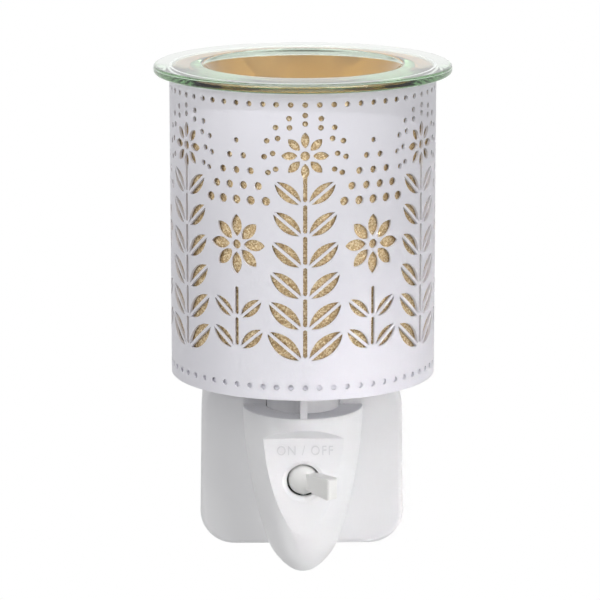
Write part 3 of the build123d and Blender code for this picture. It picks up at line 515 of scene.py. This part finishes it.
# the facet leans out upwards: y = facet - (z - switchZ) tan(lean)
facetY = lettering["facet"] - (wordZ - lettering["switchZ"]) * math.tan(math.radians(lettering["lean"]))
wordY = facetY + lettering["sunk"] - share[:, 2] * (lettering["rise"] + lettering["sunk"])
wordPlaces = np.stack([wordX, wordY, wordZ], axis=-1) * mm
wordMesh.vertices.foreach_set("co", wordPlaces.ravel())
words = finishPiece("switchWords", wordMesh, lettering["crisp"])
dress(words, letterShadeAbs, "base", "white_plastic")
print("lettering made")

# moulded, pressed and drawn pieces kept at their CAD shapes: name, node, bevel in mm, material, body, slot
castings = [
    ("noseShell", "nose_cover", 0.18, whiteAbs, "base", "white_plastic"),
    ("plugShell", "plug_body", 0.18, whiteAbs, "base", "white_plastic"),
    ("wallCover", "rear_cover", 0.15, whiteAbs, "base", "white_plastic"),
    ("lampCollar", "lamp_holder", 0.2, whiteAbs, "base", "white_plastic"),
    ("shadePan", "shade_base", 0.1, shadePaint, "base", "shade_white"),
    ("clampRing", "shade_ring", 0.25, innerAbs, "base", "white_plastic_matte"),
    ("socketShell", "screw_shell", 0.0, brass, "base", "brass"),
    ("socketSpring", "centre_contact", 0.05, brass, "base", "brass"),
    ("flipLever", "toggle", 0.16, leverAbs, "toggle", "white_plastic"),
    ("leverAxle", "toggle_axle", 0.1, plated, "base", "plated_steel"),
    ("contactSlide", "contact_carriage", 0.12, innerAbs, "carriage", "white_plastic_matte"),
    ("contactBridge", "bridge_contact", 0.08, brass, "carriage", "brass"),
    ("switchCradle", "switch_frame", 0.15, blackNylon, "base", "black_plastic"),
    ("switchRivets", "switch_terminals", 0.08, brass, "base", "brass"),
    ("livePin", "live_pin", 0.15, brass, "base", "brass"),
    ("neutralPin", "neutral_pin", 0.15, brass, "base", "brass"),
    ("pinJackets", "pin_sleeves", 0.1, blackNylon, "base", "black_plastic"),
    ("earthPin", "earth_pin", 0.15, whiteAbs, "base", "white_plastic"),
    ("liveLead", "live_wire", 0.0, brownPvc, "base", "brown_insulation"),
    ("switchedLead", "switched_wire", 0.0, brownPvc, "base", "brown_insulation"),
    ("neutralLead", "neutral_wire", 0.0, bluePvc, "base", "blue_insulation"),
    ("capPip", "bulb_tip", 0.0, solder, "bulb", "solder"),
    ("capGlass", "bulb_insulator", 0.1, castBlackGlass, "bulb", "black_glass"),
]
for name, node, bevelWidth, material, body, slot in castings:
    dress(castPiece(name, node, bevelWidth), material, body, slot, node)
print("castings made:", len(castings))

# bulb glass: neck, flare and dome outside, the same drawn in by the wall inside, joined at the neck
bulbLow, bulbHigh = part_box("bulb_glass")
bulb = {
    "neck": 6.9, "radius": 14.0, "flare": 14.7, "dome": 14.0, "wall": 0.8,
    "columns": 96, "flareRows": 28, "domeRows": 26,
}
neckZ, crownZ = bulbLow.z / mm, bulbHigh.z / mm


# r = neck + (radius - neck) smoothstep(z) up the flare, then a straight side, then the dome's quarter circle
def bulbProfile(inset):
    climb = np.linspace(0, 1, bulb["flareRows"])
    swell = climb * climb * (3 - 2 * climb)
    flareR = bulb["neck"] - inset + (bulb["radius"] - bulb["neck"]) * swell
    flare = np.stack([flareR, neckZ + bulb["flare"] * climb], -1)
    turn = np.linspace(0, np.pi / 2, bulb["domeRows"])
    reach = bulb["dome"] - inset
    dome = np.stack([reach * np.cos(turn), crownZ - bulb["dome"] + reach * np.sin(turn)], -1)
    dome[-1, 0] = 0.0
    return np.concatenate([flare, dome])


bulbWall = np.concatenate([bulbProfile(0.0), bulbProfile(bulb["wall"])[::-1]])
bulbPiece = gridPiece("blownBulb", [turnedGrid(bulbWall, bulb["columns"])], wrapRows=True)
dress(bulbPiece, bulbGlass, "bulb", "bulb_glass", "bulb_glass")

# bulb cap: rolled thread, r = cap - depth (0.5 - 0.5 cos(2 pi z / pitch - t)), faded out at both ends
capLow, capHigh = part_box("bulb_cap")
cap = {"radius": 6.9, "sheet": 0.4, "pitch": 2.82, "depth": 0.55, "columns": 72, "rows": 90, "fade": 2.2}
capZ = np.linspace(capLow.z / mm, capHigh.z / mm, cap["rows"])[:, None]
capT = np.linspace(0, 2 * np.pi, cap["columns"], endpoint=False)[None, :]
capFade = np.clip(np.minimum(capZ - capZ[0], capZ[-1] - capZ) / cap["fade"], 0, 1)
capR = cap["radius"] - cap["depth"] * capFade * (0.5 - 0.5 * np.cos(2 * np.pi * capZ / cap["pitch"] - capT))
capWalls = np.concatenate([capR, capR[::-1] - cap["sheet"]])
capHeights = np.concatenate([capZ, capZ[::-1]]) + 0 * capT
capGrid = np.stack([capWalls * np.sin(capT) * mm, axisY - capWalls * np.cos(capT) * mm, capHeights * mm], -1)
capPiece = gridPiece("threadedCap", [capGrid], wrapRows=True)
dress(capPiece, capAluminium, "bulb", "cap_aluminium", "bulb_cap")

# bulb stem: pressed foot, rod and rounded pinch
stemLow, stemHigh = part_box("bulb_stem")
stem = {
    "foot": (stemHigh.x - stemLow.x) / 2 / mm, "footHeight": 0.8, "rod": 2.2, "columns": 48,
    "rounds": [0, 0.2, 0.3, 0.5, 1.1, 0],
}
stemProfile = roundedProfile(
    [
        (0.0, stemLow.z / mm),
        (stem["foot"], stemLow.z / mm),
        (stem["foot"], stemLow.z / mm + stem["footHeight"]),
        (stem["rod"], stemLow.z / mm + stem["footHeight"]),
        (stem["rod"], stemHigh.z / mm),
        (0.0, stemHigh.z / mm),
    ],
    stem["rounds"],
)
stemPiece = gridPiece("glassStem", [turnedGrid(stemProfile, stem["columns"])])
dress(stemPiece, bulbGlass, "bulb", "bulb_glass", "bulb_stem")

# filament: two bowed support wires and a coil, path + coil (cos w side + sin w up), arched between their tops
wireLow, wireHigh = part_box("bulb_filament")
coil = {
    "lead": 0.55, "wire": 0.16, "support": 0.22, "coil": 0.32, "turns": 34,
    "inset": 0.6, "drop": 2.2, "arch": 1.5, "bow": 1.6,
    "points": 680, "wireColumns": 6, "supportPoints": 40, "supportColumns": 10,
}
halfSpan = (wireHigh.x - wireLow.x) / 2 - coil["inset"] * mm
shoulderZ = wireHigh.z - coil["drop"] * mm
u = np.linspace(-1, 1, coil["points"])
coilPath = np.stack([u * halfSpan, axisY + 0 * u, shoulderZ + (1 - u * u) * coil["arch"] * mm], -1)
w = u * np.pi * coil["turns"]
coilLift = np.stack([0 * w, np.cos(w) * coil["coil"] * mm, np.sin(w) * coil["coil"] * mm], -1)
v = np.linspace(0, 1, coil["supportPoints"])
postX = coil["lead"] * mm + (halfSpan - coil["lead"] * mm) * v ** coil["bow"]
postZ = wireLow.z + (shoulderZ - wireLow.z) * v
posts = [np.stack([side * postX, axisY + 0 * v, postZ], -1) for side in (-1, 1)]
filamentGrids = [tubeGrid(coilPath + coilLift, coil["wire"] * mm, coil["wireColumns"])]
filamentGrids += [tubeGrid(post, coil["support"] * mm, coil["supportColumns"]) for post in posts]
filamentPiece = gridPiece("coiledFilament", filamentGrids)
dress(filamentPiece, tungsten, "bulb", "plated_steel", "bulb_filament")
print("bulb made")

# cover screws: pan heads turned about Y with a cross recess pressed into the crown
screwLow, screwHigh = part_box("cover_screws")
screw = {
    "head": 2.7, "crown": 0.8, "headHeight": 2.0, "crownRows": 40, "crownPower": 4, "edgeGap": 0.02,
    "shank": 1.45, "taper": 0.6, "taperLength": 1.2, "tipLength": 0.1, "columns": 64, "turn": math.pi / 8,
    "arm": 1.55, "armFade": 0.5, "slot": 0.42, "slotFade": 0.24, "recess": 1.1,
}
screwCentres = [(x, z) for x in (screwLow.x / mm + screw["head"], screwHigh.x / mm - screw["head"])
                for z in (screwLow.z / mm + screw["head"], screwHigh.z / mm - screw["head"])]
headFace, headBack, shankEnd = screwHigh.y / mm, screwHigh.y / mm - screw["headHeight"], screwLow.y / mm
crownR = np.linspace(0, 1, screw["crownRows"]) * (screw["head"] - screw["edgeGap"])
crownY = headFace - screw["crown"] * (crownR / screw["head"]) ** screw["crownPower"]
sideR = np.array([
    screw["head"], screw["head"], screw["shank"], screw["shank"], screw["shank"] * screw["taper"], 0.0,
])
sideY = np.array([
    headFace - screw["crown"], headBack, headBack,
    shankEnd + screw["taperLength"], shankEnd + screw["tipLength"], shankEnd,
])
screwR, screwY = np.concatenate([crownR, sideR])[:, None], np.concatenate([crownY, sideY])[:, None]
screwT = np.linspace(0, 2 * np.pi, screw["columns"], endpoint=False)[None, :] + screw["turn"]
near, far = np.abs(screwR * np.cos(screwT)), np.abs(screwR * np.sin(screwT))
across, reach = np.minimum(near, far), np.maximum(near, far)
# recess = depth x fade (inside an arm's width) x fade (inside its length), on the crown rows alone
inWidth = np.clip((screw["slot"] + screw["slotFade"] / 2 - across) / screw["slotFade"], 0, 1)
inArm = inWidth * np.clip((screw["arm"] - reach) / screw["armFade"], 0, 1)
inArm[len(crownR):] = 0
pressedY = screwY - screw["recess"] * inArm
screwGrids = [
    np.stack([x + screwR * np.cos(screwT), pressedY, z + screwR * np.sin(screwT)], -1) * mm
    for x, z in screwCentres
]
screwPiece = gridPiece("coverScrews", screwGrids)
dress(screwPiece, plated, "base", "plated_steel", "cover_screws")
print("screws made")

# floor far below, as under a wall socket: white to the camera and in gloss, a little dimmer through glass
stage = {
    "floorZ": -0.34, "size": 6.0, "paint": "#f4f4f4",
    "throughGlass": 0.72, "inGloss": 1.15, "fill": 0.06,
}
white = (1, 1, 1, 1)
steps = np.linspace(-1, 1, 3)
floorX, floorY = np.meshgrid(steps, steps, indexing="ij")
floorGrid = np.stack([floorX, floorY, 0 * floorX], -1)
floorGrid = floorGrid * [stage["size"], stage["size"], 0] + [0, 0, stage["floorZ"]]
floorPiece = gridPiece("paleFloor", [floorGrid], wrapColumns=False)
floorMaterial, floorTree = startMaterial("paleFloor")[:2]
paint = addNode(floorTree, "ShaderNodeBsdfDiffuse", {"Color": hexColour(stage["paint"])})
rays = addNode(floorTree, "ShaderNodeLightPath").outputs
dimmed = addNode(floorTree, "ShaderNodeMapRange", {
    "Value": rays["Is Transmission Ray"], "To Min": 1.0, "To Max": stage["throughGlass"],
})
glow = addNode(floorTree, "ShaderNodeEmission", {"Color": white, "Strength": dimmed.outputs[0]})
seen = addNode(floorTree, "ShaderNodeMath", {
    0: rays["Is Camera Ray"], 1: rays["Is Glossy Ray"],
}, operation="MAXIMUM")
seen = addNode(floorTree, "ShaderNodeMath", {
    0: seen.outputs[0], 1: rays["Is Transmission Ray"],
}, operation="MAXIMUM")
floorMix = addNode(floorTree, "ShaderNodeMixShader", {
    0: seen.outputs[0], 1: paint.outputs[0], 2: glow.outputs[0],
})
addNode(floorTree, "ShaderNodeOutputMaterial", {"Surface": floorMix.outputs[0]})
floorPiece.data.materials.append(floorMaterial)

# world: faint soft light on the object, white to the camera and in gloss, a little dimmer through glass
world = bpy.data.worlds.new("studio")
scene.world = world
world.use_nodes = True
worldTree = world.node_tree
worldTree.nodes.clear()
rays = addNode(worldTree, "ShaderNodeLightPath").outputs
mirrored = addNode(worldTree, "ShaderNodeMath", {
    0: rays["Is Glossy Ray"], 1: stage["inGloss"],
}, operation="MULTIPLY")
through = addNode(worldTree, "ShaderNodeMix", {
    0: rays["Is Transmission Ray"], 2: mirrored.outputs[0], 3: stage["throughGlass"],
})
seen = addNode(worldTree, "ShaderNodeMath", {
    0: rays["Is Camera Ray"], 1: through.outputs[0],
}, operation="MAXIMUM")
level = addNode(worldTree, "ShaderNodeMath", {0: seen.outputs[0], 1: stage["fill"]}, operation="MAXIMUM")
air = addNode(worldTree, "ShaderNodeBackground", {"Color": white, "Strength": level.outputs[0]})
addNode(worldTree, "ShaderNodeOutputWorld", {"Surface": air.outputs[0]})

# soft boxes round the shade, a back light, and two narrow beams, low for the plug and steep into the bowl:
# name, place, height it faces, width, power, spread of its beam in degrees
lampBoxes = [
    ("leftBox", (-0.55, -0.85, 0.55), 0.06, 0.6, 3.6, 180.0),
    ("rightBox", (0.55, -0.85, 0.55), 0.06, 0.6, 5.0, 180.0),
    ("sideBox", (-0.95, -0.35, 0.42), 0.06, 0.6, 1.6, 180.0),
    ("topBox", (0.0, -0.30, 1.00), 0.06, 0.6, 4.0, 180.0),
    ("backBox", (0.30, 1.0, 0.50), 0.06, 0.6, 3.0, 180.0),
    ("plugBox", (0.68, -0.64, 0.06), -0.002, 0.1, 0.019, 10.0),
    ("bowlBox", (-0.10, -0.62, 0.85), 0.132, 0.04, 0.022, 5.0),
]
unmirrored = ("topBox", "backBox", "bowlBox")  # these would show as white patches in the dish
for name, place, aimZ, width, power, spread in lampBoxes:
    light = bpy.data.lights.new(name, "AREA")
    light.energy, light.size, light.spread = power, width, math.radians(spread)
    aim = Vector((0.0, axisY, aimZ))
    lamp = bpy.data.objects.new(name, light)
    lamp.visible_glossy = lamp.visible_transmission = name not in unmirrored
    lamp.location = place
    lamp.rotation_mode = "QUATERNION"
    lamp.rotation_quaternion = (aim - Vector(place)).to_track_quat("-Z", "Y")
    scene.collection.objects.link(lamp)

# camera: fitted to the photograph's own view of shade, dish and plug, in a frame 600 pixels wide
shot = {
    "azimuth": -1.0, "elevation": 12.56, "distance": 0.8777, "targetZ": 0.0493,
    "lens": 193.87, "sensor": 36.0, "shiftX": -2.8 / 600,
}
turn, tilt = math.radians(shot["azimuth"]), math.radians(shot["elevation"])
back = Vector((math.sin(turn) * math.cos(tilt), -math.cos(turn) * math.cos(tilt), math.sin(tilt)))
cameraData = bpy.data.cameras.new("productCamera")
cameraData.lens, cameraData.sensor_width, cameraData.shift_x = shot["lens"], shot["sensor"], shot["shiftX"]
camera = bpy.data.objects.new("productCamera", cameraData)
camera.location = Vector((0.0, axisY, shot["targetZ"])) + back * shot["distance"]
camera.rotation_mode = "QUATERNION"
camera.rotation_quaternion = (-back).to_track_quat("-Z", "Y")
scene.collection.objects.link(camera)
scene.camera = camera
scene.view_settings.view_transform = "Standard"
# light runs round inside the thick rim of the dish many times
bounces = {"glossy": 12, "transmission": 16, "total": 20}
scene.cycles.glossy_bounces = bounces["glossy"]
scene.cycles.transmission_bounces = bounces["transmission"]
scene.cycles.max_bounces = bounces["total"]
print("stage, lamps and camera set")
